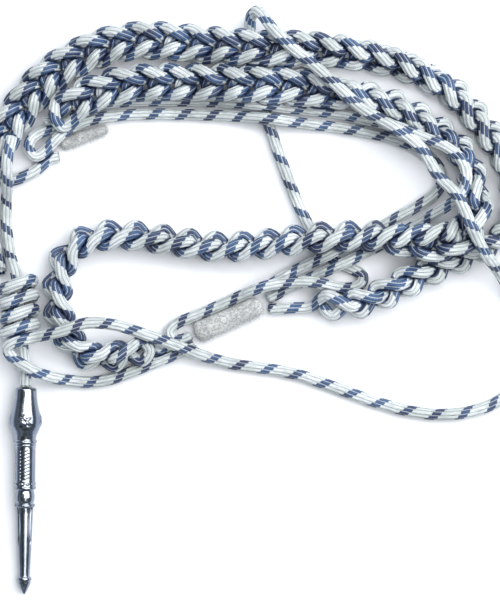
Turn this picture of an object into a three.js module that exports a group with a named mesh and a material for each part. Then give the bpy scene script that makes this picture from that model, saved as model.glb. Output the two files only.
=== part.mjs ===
import * as THREE from 'three';

// An aiguillette of silver and blue cord, laid out on a flat surface at z = 0. Two chain-stitched
// braids and a doubled plain cord run from the front end on the left, round a fold at the right
// and back to the shoulder sleeve. Two cords hang from the front end, with a barrel knot and a
// turned metal tag. All lengths are in millimetres, and +Z is up.

// The routes are charted on squares: x counts squares to the right, y counts squares down.
const SQUARE = 1.85;

// Cord and braid
const CORD = 4.6;
const CORD_SIDES = 8;
const CORD_STEP = 9.2;
const STRAND = 3.1;
const STRAND_SIDES = 5;
const STITCH = 9.9;
const BRAID_HALF_WIDTH = 4.7;
const BRAID_HALF_HEIGHT = 3.8;
const JOINT_GAP = 0.35;
const RUN_DIVISIONS = 20;

// Barrel knot
const KNOT_RADIUS = 5.8;
const KNOT_PITCH = 5.4;
const KNOT_TURNS = 3.5;
const KNOT_TILT = 24;
const KNOT_STEPS = 10;
const KNOT_SIDES = 6;

// Metal tag, from its mouth down to its point. The places of its bulb and of the ring near its
// point are shares of its length.
const TAG_LENGTH = 77;
const TAG_BULB_AT = 0.165;
const TAG_TIP_RING_AT = 0.922;
const TAG_MOUTH = 7.7;
const TAG_BULB = 10.7;
const TAG_BARREL = 7.1;
const TAG_BEAD = 6.4;
const TAG_RING = 8;
const TAG_TIP_RING = 5.4;
const TAG_TIP_NECK = 4;
const TAG_SIDES = 20;

// Felt sleeves, each a flattened roll with round edges
const SLEEVE_EDGE = 1.2;
const SLEEVE_HALF_FLAT = 0.7;
const SHOULDER_SLEEVE = { length: 27, width: 6.4, height: 6.2 };
const FRONT_SLEEVE = { length: 18, width: 4.2, height: 4.2 };

// One chain stitch, in the order the cord runs through it. along is a share of the stitch's
// length, across of the braid's half width, and up of its half height.
const STITCH_ROWS = [
  { along: 0.02, across: -0.55, up: 0.95 },
  { along: 0.48, across: -1, up: 0.5 },
  { along: 0.93, across: -1, up: -0.25 },
  { along: 1.36, across: 0, up: 0.2 },
  { along: 1.27, across: 1, up: -0.2 },
  { along: 0.73, across: 1, up: 0.35 },
  { along: 0.2, across: 0.55, up: 1 },
  { along: -0.06, across: 0.27, up: 0 },
  { along: 0.29, across: 0, up: -1 },
  { along: 0.69, across: -0.23, up: -0.15 },
];

// Where the cord leaves the last stitch, under that stitch's head
const WAY_OUT = { along: 1.5, across: 0, up: -1 };

// The tag's outline from mouth to point: share of its length, and the width there
const TAG_ROWS = [
  { along: 0, width: TAG_MOUTH - 0.6 },
  { along: 0.006, width: TAG_MOUTH },
  { along: 0.05, width: TAG_MOUTH },
  { along: 0.13, width: TAG_BULB - 0.9 },
  { along: TAG_BULB_AT, width: TAG_BULB },
  { along: 0.2, width: TAG_BULB - 1.1 },
  { along: 0.25, width: TAG_BARREL },
  { along: 0.262, width: TAG_RING },
  { along: 0.278, width: TAG_BARREL },
  { along: 0.475, width: TAG_BARREL },
  { along: 0.482, width: TAG_RING },
  { along: 0.494, width: TAG_BEAD },
  { along: 0.56, width: TAG_BEAD },
  { along: 0.566, width: TAG_RING - 0.6 },
  { along: 0.58, width: TAG_BEAD - 0.4 },
  { along: 0.76, width: TAG_BEAD - 1 },
  { along: 0.915, width: TAG_TIP_NECK },
  { along: TAG_TIP_RING_AT, width: TAG_TIP_RING },
  { along: 0.936, width: TAG_TIP_RING },
  { along: 0.945, width: TAG_TIP_NECK },
  { along: 0.995, width: 1 },
];

// Routes, as points chosen by hand: x and y in squares, z in millimetres. face turns a braid
// about its run: at 0 its front looks up, at 90 to the right of the run, at -90 to the left.
const OUTER_TAIL = [
  { x: 53.9, y: 61.9, z: 2.5 },
  { x: 58, y: 61.6, z: 2.5 },
  { x: 62.2, y: 61.3, z: 3.4 },
];

const OUTER_BRAID = [
  { x: 65, y: 61.1, z: 6.9, face: -90 },
  { x: 70.4, y: 60.9, z: 6.9, face: -92 },
  { x: 74, y: 60.2, z: 6.9, face: -100 },
  { x: 77.6, y: 58.7, z: 6.9, face: -110 },
  { x: 81, y: 57, z: 6.9, face: -115 },
  { x: 84.4, y: 55.3, z: 6.9, face: -115 },
  { x: 88, y: 53.5, z: 6.9, face: -105 },
  { x: 92, y: 51.6, z: 6.9, face: -95 },
  { x: 96, y: 49.7, z: 6.9, face: -90 },
  { x: 100, y: 48, z: 6.9, face: -90 },
  { x: 102.6, y: 45, z: 6.9, face: -90 },
  { x: 103.4, y: 40.4, z: 6.9, face: -90 },
  { x: 102.6, y: 35.4, z: 6.9, face: -90 },
  { x: 100.8, y: 30.8, z: 6.9, face: -90 },
  { x: 98, y: 26.8, z: 6.9, face: -90 },
  { x: 95.2, y: 23.2, z: 6.9, face: -90 },
  { x: 92, y: 19.6, z: 6.9, face: -85 },
  { x: 88.2, y: 16.5, z: 6.9, face: -78 },
  { x: 80.8, y: 12.7, z: 6.9, face: -68 },
  { x: 75.2, y: 11.2, z: 6.9, face: -60 },
  { x: 70.2, y: 10.3, z: 6.9, face: -50 },
  { x: 64, y: 9.9, z: 6.8, face: -25 },
  { x: 60, y: 9.9, z: 7.6, face: 0 },
  { x: 55, y: 10, z: 10.6, face: 0 },
  { x: 50, y: 9.8, z: 11.3, face: 0 },
  { x: 46, y: 9.4, z: 9.4, face: 0 },
  { x: 40, y: 8.8, z: 6.3, face: 0 },
  { x: 34, y: 8.2, z: 6.1, face: 0 },
  { x: 28, y: 8, z: 6.1, face: 0 },
  { x: 23, y: 8.7, z: 6.1, face: 0 },
  { x: 18, y: 10.3, z: 6.1, face: 0 },
  { x: 13.4, y: 12.7, z: 6.1, face: 0 },
  { x: 9.6, y: 15.3, z: 6.1, face: 0 },
  { x: 6.6, y: 18.4, z: 6.1, face: 0 },
  { x: 4, y: 21.8, z: 6.1, face: 0 },
  { x: 1.6, y: 25.2, z: 6.1, face: 0 },
  { x: -0.6, y: 28.6, z: 6.1, face: 0 },
  { x: -2.4, y: 32, z: 6.1, face: 0 },
];
const OUTER_FOLD = 11;

const OUTER_END = [
  { x: -1.6, y: 35, z: 2.2 },
  { x: 1.4, y: 36, z: 2.2 },
  { x: 4.4, y: 35.3, z: 2.2 },
  { x: 6.9, y: 34, z: 2.2 },
  { x: 8.6, y: 32.5, z: 2.2 },
  { x: 10, y: 31.5, z: 2.2 },
  { x: 11.6, y: 31.2, z: 2.2 },
];

const INNER_TAIL = [
  { x: 32.8, y: 69.7, z: 2.6 },
  { x: 31.4, y: 69.9, z: 3.6 },
];

const INNER_BRAID = [
  { x: 29.6, y: 70, z: 6.9, face: 90 },
  { x: 26, y: 70.6, z: 6.9, face: 90 },
  { x: 22.4, y: 71.4, z: 6.9, face: 90 },
  { x: 19, y: 71.6, z: 6.9, face: 90 },
  { x: 15.6, y: 70, z: 6.9, face: 90 },
  { x: 13.2, y: 66.8, z: 6.9, face: 90 },
  { x: 11.8, y: 63.2, z: 6.9, face: 90 },
  { x: 11.4, y: 59.6, z: 6.9, face: 90 },
  { x: 11.6, y: 55.6, z: 6.9, face: 90 },
  { x: 12.7, y: 51.9, z: 6.9, face: 90 },
  { x: 15.2, y: 49, z: 6.9, face: 90 },
  { x: 19, y: 47.4, z: 6.9, face: 90 },
  { x: 24.4, y: 46.9, z: 6.9, face: 90 },
  { x: 30.4, y: 47.5, z: 6.9, face: 90 },
  { x: 35.6, y: 48.3, z: 6.9, face: 90 },
  { x: 40.8, y: 49.1, z: 6.9, face: 90 },
  { x: 46.4, y: 49.3, z: 7.2, face: 90 },
  { x: 52, y: 48.9, z: 8.6, face: 90 },
  { x: 57, y: 48.3, z: 11, face: 90 },
  { x: 61, y: 47.8, z: 13, face: 90 },
  { x: 65, y: 47.4, z: 14, face: 90 },
  { x: 70, y: 47.2, z: 13.4, face: 90 },
  { x: 76, y: 47.2, z: 12.4, face: 75 },
  { x: 82, y: 48, z: 13, face: 45 },
  { x: 86.4, y: 48.5, z: 14.8, face: 20 },
  { x: 90.8, y: 47.9, z: 16.4, face: 0 },
  { x: 94, y: 45, z: 15.2, face: -25 },
  { x: 95.2, y: 41, z: 11.6, face: -55 },
  { x: 95, y: 37, z: 8.4, face: -80 },
  { x: 93.9, y: 32.8, z: 7.2, face: -90 },
  { x: 91.4, y: 29, z: 7.2, face: -90 },
  { x: 87.2, y: 25.7, z: 7.2, face: -90 },
  { x: 82.6, y: 22.8, z: 7.2, face: -90 },
  { x: 77.4, y: 20.3, z: 7.2, face: -90 },
  { x: 72.2, y: 18.8, z: 7.2, face: -85 },
  { x: 68, y: 18.2, z: 7.2, face: -60 },
  { x: 64, y: 17.9, z: 8, face: -25 },
  { x: 60, y: 17.6, z: 9.2, face: 0 },
  { x: 54, y: 17.2, z: 11.2, face: 0 },
  { x: 50, y: 16.9, z: 11.4, face: -10 },
  { x: 46, y: 16.6, z: 10.6, face: -20 },
  { x: 40, y: 16.5, z: 9.2, face: -20 },
  { x: 34, y: 16.4, z: 9.2, face: -20 },
  { x: 29, y: 16.5, z: 9.2, face: -20 },
  { x: 24, y: 17.1, z: 9.4, face: -20 },
  { x: 19.6, y: 18.3, z: 9.8, face: -20 },
  { x: 15.8, y: 20.2, z: 10.2, face: -20 },
  { x: 12.6, y: 22.6, z: 10.8, face: -15 },
];
const INNER_FOLD = 27;

const INNER_END = [
  { x: 9.6, y: 23.6, z: 8.4 },
];

const LOOP_CORD = [
  { x: 37.9, y: 67.2, z: 2.5 },
  { x: 36.4, y: 67.9, z: 2.5 },
  { x: 34.6, y: 67.8, z: 2.5 },
  { x: 33.8, y: 66.4, z: 2.5 },
  { x: 35.2, y: 64.8, z: 2.5 },
  { x: 37.8, y: 63.6, z: 2.5 },
  { x: 40.6, y: 62.5, z: 2.5 },
  { x: 44, y: 61, z: 2.5 },
  { x: 48, y: 59.2, z: 3.6 },
  { x: 50.8, y: 58, z: 6.2 },
  { x: 53.2, y: 57.2, z: 7.3 },
  { x: 56, y: 56.7, z: 7.4 },
  { x: 59, y: 56.4, z: 7.7 },
  { x: 62.2, y: 56.4, z: 8.4 },
  { x: 65.4, y: 57, z: 6.8 },
  { x: 68.2, y: 57.5, z: 3.8 },
  { x: 70.6, y: 57.5, z: 2.5 },
  { x: 72.4, y: 56.6, z: 2.5 },
  { x: 72.6, y: 55.1, z: 2.5 },
  { x: 71, y: 54, z: 2.5 },
  { x: 67.8, y: 52.6, z: 2.5 },
  { x: 64.6, y: 49.6, z: 2.5 },
  { x: 62.2, y: 45.8, z: 2.5 },
  { x: 60, y: 41.4, z: 2.5 },
  { x: 56.9, y: 33.6, z: 2.5 },
  { x: 54.1, y: 25.6, z: 2.5 },
  { x: 51.5, y: 17, z: 2.5 },
  { x: 50.3, y: 8.8, z: 2.5 },
  { x: 50, y: 5.4, z: 3.8 },
  { x: 50.2, y: 3.3, z: 6.2 },
  { x: 51.2, y: 2.3, z: 9 },
  { x: 52.5, y: 3.2, z: 12.2 },
  { x: 54.2, y: 5.8, z: 16.2 },
  { x: 57, y: 8.8, z: 18.4 },
  { x: 63, y: 13.8, z: 18.8 },
  { x: 69, y: 19.2, z: 18.6 },
  { x: 72.4, y: 22.2, z: 18.6 },
  { x: 78.6, y: 25.8, z: 19.2 },
  { x: 83.8, y: 29.8, z: 19.2 },
  { x: 87, y: 35, z: 19.6 },
  { x: 91.2, y: 39.8, z: 21.8 },
  { x: 93.6, y: 45.4, z: 24 },
  { x: 96.2, y: 50.2, z: 19.6 },
  { x: 99.8, y: 54.6, z: 10 },
  { x: 103.6, y: 60.6, z: 3.4 },
  { x: 106.4, y: 67, z: 2.5 },
  { x: 106.4, y: 73.6, z: 2.5 },
  { x: 104, y: 77.6, z: 2.5 },
  { x: 100, y: 80.3, z: 2.5 },
  { x: 96, y: 82, z: 2.5 },
  { x: 90, y: 83, z: 2.5 },
  { x: 83, y: 82.5, z: 2.5 },
  { x: 76, y: 80.7, z: 2.5 },
  { x: 68, y: 77.9, z: 2.5 },
  { x: 60, y: 75.1, z: 2.5 },
  { x: 54, y: 73.9, z: 2.5 },
  { x: 48, y: 73.1, z: 2.5 },
  { x: 43.6, y: 72.1, z: 3.4 },
  { x: 39.6, y: 70.8, z: 6.6 },
  { x: 36.8, y: 69.7, z: 7.6 },
  { x: 30, y: 67.2, z: 12.4 },
  { x: 23.6, y: 65.1, z: 12.6 },
  { x: 17.6, y: 64.6, z: 16.8 },
  { x: 12.8, y: 66.1, z: 17.2 },
  { x: 7.2, y: 67.4, z: 14.2 },
  { x: 3.4, y: 68.3, z: 14.2 },
  { x: 1.7, y: 69.6, z: 12.6 },
  { x: 2.6, y: 71.4, z: 11.6 },
  { x: 5.4, y: 73.4, z: 11.4 },
  { x: 7.4, y: 74.4, z: 11 },
  { x: 10.4, y: 75.5, z: 6.6 },
  { x: 14, y: 76.2, z: 2.8 },
  { x: 18, y: 76.5, z: 2.5 },
  { x: 22, y: 75.9, z: 2.5 },
  { x: 26, y: 74.5, z: 2.5 },
  { x: 30, y: 72.9, z: 2.5 },
  { x: 36.4, y: 70.4, z: 2.5 },
  { x: 38.9, y: 69.3, z: 2.5 },
];

const FRONT_CORD = [
  { x: 53.8, y: 59.7, z: 2.5 },
  { x: 55.2, y: 59, z: 2.5 },
  { x: 57.6, y: 57.7, z: 2.5 },
  { x: 60.6, y: 56.3, z: 2.5 },
  { x: 63.4, y: 55, z: 3.6 },
  { x: 66, y: 53.9, z: 6.4 },
  { x: 68.6, y: 52.7, z: 8.1 },
  { x: 71.8, y: 51.2, z: 5.6 },
  { x: 75.4, y: 49.4, z: 2.6 },
  { x: 79, y: 47.4, z: 2.5 },
  { x: 82.4, y: 45.4, z: 2.6 },
  { x: 86, y: 43.3, z: 6.4 },
  { x: 89.4, y: 41.2, z: 12.4 },
  { x: 92, y: 39, z: 16.4 },
  { x: 93, y: 35.6, z: 16.8 },
  { x: 92, y: 32.2, z: 16.2 },
  { x: 89, y: 29.6, z: 15.2 },
  { x: 84.4, y: 27.6, z: 14.2 },
  { x: 79.6, y: 25.6, z: 13.4 },
  { x: 74, y: 24, z: 6.2 },
  { x: 69, y: 22.8, z: 2.8 },
  { x: 64, y: 22.1, z: 2.6 },
  { x: 58, y: 21.5, z: 4.6 },
  { x: 52.2, y: 21, z: 7.7 },
  { x: 46.6, y: 20.4, z: 4.2 },
  { x: 40, y: 20.1, z: 2.5 },
  { x: 30, y: 20, z: 2.5 },
  { x: 24, y: 20.2, z: 2.5 },
  { x: 20, y: 20.9, z: 2.5 },
  { x: 16, y: 22.2, z: 2.5 },
  { x: 12.6, y: 24.2, z: 2.5 },
  { x: 9.8, y: 25.7, z: 3.2 },
  { x: 7.4, y: 26.7, z: 4.8 },
  { x: 5.9, y: 28.2, z: 5.6 },
  { x: 5.8, y: 30, z: 5.2 },
  { x: 7, y: 31.2, z: 5 },
  { x: 8.7, y: 30.4, z: 5 },
  { x: 10.4, y: 28.5, z: 5.6 },
  { x: 12.8, y: 26.3, z: 6 },
  { x: 16, y: 24.5, z: 4.9 },
  { x: 20, y: 23.4, z: 3.4 },
  { x: 24, y: 22.9, z: 2.7 },
  { x: 30, y: 22.6, z: 2.5 },
  { x: 40, y: 22.8, z: 2.5 },
  { x: 47, y: 23.1, z: 4.2 },
  { x: 53.3, y: 23.7, z: 7.9 },
  { x: 58.6, y: 24.3, z: 4.6 },
  { x: 64, y: 24.9, z: 2.5 },
  { x: 70, y: 25.7, z: 2.5 },
  { x: 75.6, y: 26.8, z: 2.5 },
  { x: 80, y: 28, z: 2.5 },
  { x: 83.6, y: 29.6, z: 2.5 },
  { x: 86.6, y: 31.7, z: 2.5 },
  { x: 88.4, y: 34.2, z: 2.5 },
  { x: 88.4, y: 36.8, z: 2.5 },
  { x: 86.8, y: 39, z: 2.5 },
  { x: 83.6, y: 41.2, z: 2.5 },
  { x: 80, y: 43.2, z: 2.5 },
  { x: 73.6, y: 46.8, z: 2.8 },
  { x: 69, y: 49.2, z: 5.4 },
  { x: 65.8, y: 50.9, z: 7.9 },
  { x: 62.8, y: 52.3, z: 5.6 },
  { x: 59.4, y: 53.9, z: 2.7 },
  { x: 56.4, y: 55.5, z: 2.5 },
  { x: 54.4, y: 56.7, z: 2.5 },
];

const HANGING_CORD = [
  { x: 2.6, y: 27.6, z: 13.9 },
  { x: 1.8, y: 31.4, z: 13.9 },
  { x: 1.5, y: 35, z: 11 },
  { x: 1.3, y: 38.2, z: 5.6 },
  { x: 1, y: 40.4, z: 2.6 },
  { x: 1, y: 44, z: 2.5 },
  { x: 1.4, y: 48, z: 2.5 },
  { x: 2, y: 51.4, z: 3.6 },
  { x: 2.8, y: 53.6, z: 6.4 },
  { x: 3.4, y: 56, z: 8.2 },
  { x: 3.7, y: 61, z: 8.2 },
  { x: 4.1, y: 66, z: 8.2 },
  { x: 4.6, y: 70, z: 7 },
  { x: 5, y: 74, z: 6.2 },
  { x: 5.05, y: 77.3, z: 5.9 },
];

const WINDING_CORD = [
  { x: -1.9, y: 37, z: 2.5 },
  { x: -1.9, y: 40, z: 2.5 },
  { x: -1.7, y: 44, z: 2.5 },
  { x: -1.3, y: 48, z: 2.5 },
  { x: -0.6, y: 51, z: 2.5 },
  { x: -0.2, y: 53, z: 3.4 },
  { x: 0.1, y: 54.2, z: 5 },
];

const KNOT_TOP = { x: 3.4, y: 56.2 };
const KNOT_FOOT = { x: 4, y: 66.4 };
const TAG_TOP = { x: 5.1, y: 77.6 };
const TAG_POINT = { x: 4.6, y: 119.2 };
const SHOULDER_ENDS = [{ x: 39, y: 66.8 }, { x: 52.4, y: 60.9 }];
const FRONT_ENDS = [{ x: 12, y: 28.7 }, { x: 21.3, y: 25.6 }];

const COLOURS = {
  cord: { color: 0xd9dcdf, roughness: 0.55, metalness: 0.1 },
  metal: { color: 0xc8ccd2, roughness: 0.22, metalness: 1 },
  felt: { color: 0xc9c9c4, roughness: 0.95, metalness: 0 },
};

const UP = new THREE.Vector3(0, 0, 1);
const degrees = THREE.MathUtils.degToRad;

// A charted point in millimetres
function place({ x, y, z = 0 }) {
  return new THREE.Vector3(x * SQUARE, -y * SQUARE, z);
}

// A curve that spreads its steps evenly over its points, not over its length
class RowCurve extends THREE.CatmullRomCurve3 {
  getPointAt(share, target) {
    return this.getPoint(share, target);
  }

  getTangentAt(share, target) {
    return this.getTangent(share, target);
  }
}

function ngon(sides, diameter) {
  const shape = new THREE.Shape();
  for (let side = 0; side < sides; side += 1) {
    const angle = (2 * Math.PI * side) / sides;
    const x = (diameter / 2) * Math.cos(angle);
    const y = (diameter / 2) * Math.sin(angle);
    if (side === 0) shape.moveTo(x, y);
    else shape.lineTo(x, y);
  }
  shape.closePath();
  return shape;
}

function tube(path, steps, sides, diameter) {
  const options = { extrudePath: path, steps, curveSegments: 1, bevelEnabled: false };
  return new THREE.ExtrudeGeometry(ngon(sides, diameter), options);
}

function named(name, geometry, look) {
  const mesh = new THREE.Mesh(geometry, new THREE.MeshStandardMaterial(COLOURS[look]));
  mesh.name = name;
  return mesh;
}

function plainCord(name, rows) {
  const path = new THREE.CatmullRomCurve3(rows.map(place));
  const steps = Math.round(path.getLength() / CORD_STEP);
  return named(name, tube(path, steps, CORD_SIDES, CORD), 'cord');
}

// The run of a braid: its middle line, and the way that its front looks along it
function braidRun(rows) {
  const curve = new THREE.CatmullRomCurve3(rows.map(place));
  curve.arcLengthDivisions = RUN_DIVISIONS * rows.length;
  const length = curve.getLength();

  function at(distance) {
    const share = THREE.MathUtils.clamp(distance / length, 0, 1);
    const t = curve.getUtoTmapping(share);
    const centre = curve.getPoint(t);
    const ahead = curve.getTangent(t);
    centre.addScaledVector(ahead, distance - share * length);
    const left = UP.clone().cross(ahead).normalize();
    const above = ahead.clone().cross(left);
    const row = Math.min(Math.floor(t * (rows.length - 1)), rows.length - 2);
    const part = t * (rows.length - 1) - row;
    const face = degrees(THREE.MathUtils.lerp(rows[row].face, rows[row + 1].face, part));
    const front = above.clone().multiplyScalar(Math.cos(face));
    front.addScaledVector(left, -Math.sin(face));
    const side = left.clone().multiplyScalar(Math.cos(face));
    side.addScaledVector(above, Math.sin(face));
    return { centre, front, side };
  }

  function lengthTo(index) {
    const lengths = curve.getLengths();
    return lengths[Math.round((index / (rows.length - 1)) * (lengths.length - 1))];
  }

  return { at, length, lengthTo };
}

function stitchPoint(run, stitch, pitch, row) {
  const spot = run.at((stitch + row.along) * pitch);
  spot.centre.addScaledVector(spot.side, row.across * BRAID_HALF_WIDTH);
  spot.centre.addScaledVector(spot.front, row.up * BRAID_HALF_HEIGHT);
  return spot.centre;
}

// A chain braid in two nodes that meet at its fold
function chainBraid(name, tail, rows, foldRow, end) {
  const run = braidRun(rows);
  const count = Math.round(run.length / STITCH);
  const pitch = run.length / count;
  const foldStitch = Math.round(run.lengthTo(foldRow) / pitch);
  const lower = tail.map(place);
  const upper = [];
  for (let stitch = 0; stitch < count; stitch += 1) {
    const points = STITCH_ROWS.map((row) => stitchPoint(run, stitch, pitch, row));
    (stitch < foldStitch ? lower : upper).push(...points);
  }
  const meeting = lower[lower.length - 1].clone().lerp(upper[0], 0.5);
  const onward = upper[0].clone().sub(meeting).normalize();
  lower.push(meeting.clone().addScaledVector(onward, -JOINT_GAP / 2));
  upper.unshift(meeting.clone().addScaledVector(onward, JOINT_GAP / 2));
  upper.push(stitchPoint(run, count - 1, pitch, WAY_OUT), ...end.map(place));
  return [strand(name + '_lower', lower), strand(name + '_upper', upper)];
}

function strand(name, points) {
  const path = new RowCurve(points, false, 'catmullrom', 0.5);
  return named(name, tube(path, points.length - 1, STRAND_SIDES, STRAND), 'cord');
}

// Turns of cord wound round the hanging cord, each turn leaning to one side
function knot() {
  const top = place(KNOT_TOP);
  const axis = place(KNOT_FOOT).sub(top).normalize();
  const side = axis.clone().cross(UP).negate();
  const middle = KNOT_RADIUS + CORD / 2;
  const lean = Math.tan(degrees(KNOT_TILT));
  const steps = Math.round(KNOT_TURNS * KNOT_STEPS);
  const points = [];
  for (let step = 0; step <= steps; step += 1) {
    const turn = step / KNOT_STEPS;
    const angle = Math.PI - 2 * Math.PI * turn;
    const out = KNOT_RADIUS * Math.cos(angle);
    const point = top.clone().addScaledVector(side, out);
    point.addScaledVector(axis, turn * KNOT_PITCH - lean * out);
    point.z = middle + KNOT_RADIUS * Math.sin(angle);
    points.push(point);
  }
  const path = new RowCurve(points, false, 'catmullrom', 0.5);
  return named('knot', tube(path, steps, KNOT_SIDES, CORD), 'cord');
}

// The tag lies on its bulb and on the ring near its point
function tag() {
  const profile = [new THREE.Vector2(0, 0)];
  for (const row of TAG_ROWS) {
    profile.push(new THREE.Vector2(row.width / 2, -row.along * TAG_LENGTH));
  }
  profile.push(new THREE.Vector2(0, -TAG_LENGTH));
  profile.reverse();
  const geometry = new THREE.LatheGeometry(profile, TAG_SIDES);
  const span = (TAG_TIP_RING_AT - TAG_BULB_AT) * TAG_LENGTH;
  const slope = Math.asin((TAG_BULB - TAG_TIP_RING) / 2 / span);
  geometry.rotateX(slope);
  geometry.rotateY(Math.PI / TAG_SIDES);
  const top = place(TAG_TOP);
  const run = place(TAG_POINT).sub(top);
  geometry.rotateZ(Math.atan2(run.y, run.x) + Math.PI / 2);
  const lift = TAG_BULB / 2 / Math.cos(slope) + TAG_BULB_AT * TAG_LENGTH * Math.sin(slope);
  geometry.translate(top.x, top.y, lift);
  return named('tag', geometry, 'metal');
}

// A flattened roll with round edges and ends, lying on the surface
function sleeve(name, { length, width, height }, [from, to]) {
  const start = place(from);
  const end = place(to);
  const x = width / 2 - SLEEVE_EDGE;
  const y = height - SLEEVE_EDGE;
  const low = SLEEVE_EDGE;
  const corner = Math.min(width, height) / 2 - SLEEVE_EDGE - SLEEVE_HALF_FLAT;
  const shape = new THREE.Shape();
  shape.moveTo(-x + corner, low);
  shape.lineTo(x - corner, low);
  shape.quadraticCurveTo(x, low, x, low + corner);
  shape.lineTo(x, y - corner);
  shape.quadraticCurveTo(x, y, x - corner, y);
  shape.lineTo(-x + corner, y);
  shape.quadraticCurveTo(-x, y, -x, y - corner);
  shape.lineTo(-x, low + corner);
  shape.quadraticCurveTo(-x, low, -x + corner, low);
  const geometry = new THREE.ExtrudeGeometry(shape, {
    depth: length - 2 * SLEEVE_EDGE,
    curveSegments: 3,
    bevelSize: SLEEVE_EDGE,
    bevelThickness: SLEEVE_EDGE,
    bevelSegments: 2,
  });
  geometry.translate(0, 0, SLEEVE_EDGE - length / 2);
  geometry.rotateX(Math.PI / 2);
  const mesh = named(name, geometry, 'felt');
  mesh.position.copy(start).lerp(end, 0.5);
  mesh.rotation.z = Math.atan2(end.y - start.y, end.x - start.x) - Math.PI / 2;
  return mesh;
}

const held = [
  ...chainBraid('braid_outer', OUTER_TAIL, OUTER_BRAID, OUTER_FOLD, OUTER_END),
  ...chainBraid('braid_inner', INNER_TAIL, INNER_BRAID, INNER_FOLD, INNER_END),
  knot(),
  tag(),
  sleeve('shoulder_sleeve', SHOULDER_SLEEVE, SHOULDER_ENDS),
  sleeve('front_sleeve', FRONT_SLEEVE, FRONT_ENDS),
];

const loose = [
  plainCord('loop_cord', LOOP_CORD),
  plainCord('front_cord', FRONT_CORD),
  plainCord('hanging_cord', HANGING_CORD),
  plainCord('winding_cord', WINDING_CORD),
];

// The origin is on the surface, under the middle of the braids, knot, tag and sleeves
const aiguillette = new THREE.Group();
aiguillette.add(...held);
aiguillette.updateMatrixWorld(true);
const middle = new THREE.Box3().setFromObject(aiguillette, true).getCenter(new THREE.Vector3());
aiguillette.add(...loose);
aiguillette.position.set(-middle.x, -middle.y, 0);

export default aiguillette;
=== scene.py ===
import math
import bpy
import numpy as np
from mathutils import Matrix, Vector, kdtree, noise


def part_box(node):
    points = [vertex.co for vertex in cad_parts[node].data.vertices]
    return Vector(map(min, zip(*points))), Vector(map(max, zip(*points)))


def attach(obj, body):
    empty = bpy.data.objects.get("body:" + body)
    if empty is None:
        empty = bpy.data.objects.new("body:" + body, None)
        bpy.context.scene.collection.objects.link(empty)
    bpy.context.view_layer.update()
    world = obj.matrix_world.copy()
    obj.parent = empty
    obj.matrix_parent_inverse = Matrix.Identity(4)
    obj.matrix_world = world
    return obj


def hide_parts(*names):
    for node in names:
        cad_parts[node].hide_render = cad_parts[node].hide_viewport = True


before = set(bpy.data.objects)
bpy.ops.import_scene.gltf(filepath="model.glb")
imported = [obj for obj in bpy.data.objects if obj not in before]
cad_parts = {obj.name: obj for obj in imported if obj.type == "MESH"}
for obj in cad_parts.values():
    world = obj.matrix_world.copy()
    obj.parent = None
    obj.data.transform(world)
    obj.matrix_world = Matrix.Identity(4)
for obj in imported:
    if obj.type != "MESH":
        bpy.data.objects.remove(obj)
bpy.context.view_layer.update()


# All lengths are in metres. The routes repeat the model's: x and y count squares of a chart laid
# over the view, to the right and down, and z is in millimetres.
SQUARE = 0.00185
MM = 0.001

# The camera looks straight down on the middle of the chart. A square of it is five pixels.
PHOTO = 500, 600
PIXELS_IN_SQUARE = 5
CAMERA_HEIGHT = 1.1
FOCUS_HEIGHT = 0.008
SENSOR = 24

# The cord: its real thickness, what it measures over its ribs where it lies free, its ribs, their
# depth as a share of its radius, how round they are (the less, the flatter on top), the points
# across each rib, and the steps along the cord
CORD = 0.0046
CORD_SEEN = 0.0043
RIBS = 8
RIB_DEPTH = 0.16
RIB_ROUND = 0.7
RIB_POINTS = 5
RING_STEP = 0.0009

# Two smaller rings close each end: how far out they lie, as a share of the radius, and then for
# each its share of the width and of that distance
END_REACH = 0.22
END_RINGS = (0.72, 1), (0.02, 1.5)

# The blue tracer: the length in which it goes round the cord once, and how much of each rib is
# blue on a plain cord and on a braid's cord
TRACER_PITCH = 0.0108
TRACER_SHARE = 0.34
BRAID_TRACER_SHARE = 0.43
DASH_CENTRE = BRAID_TRACER_SHARE / 2

# The chain braids: the length of a stitch, the half width and half height that its table below
# takes shares of, and the thickness of the cord before its neighbours press it
STITCH = 0.0099
BRAID_HALF_WIDTH = 0.0047
BRAID_HALF_HEIGHT = 0.0038
BRAID_CORD = 0.0044

# Strands that touch keep this distance from the flat between them, and everything keeps its own
# gap to the floor
TOUCH = 0.00004
FLOOR_GAP = 0.00012

# Painted shade in a strand's crevices: it comes from neighbours whose middles lie this near its
# surface, and from the floor up to this height. Each counts a little past a right angle. A
# neighbour's share falls off by a power, and the floor's is the smaller one.
NEAR = 0.0042
NEAR_WRAP = 0.12
NEAR_POWER = 1.6
FLOOR_REACH = 0.004
FLOOR_WRAP = 0.15
FLOOR_SHADE = 0.6

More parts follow.
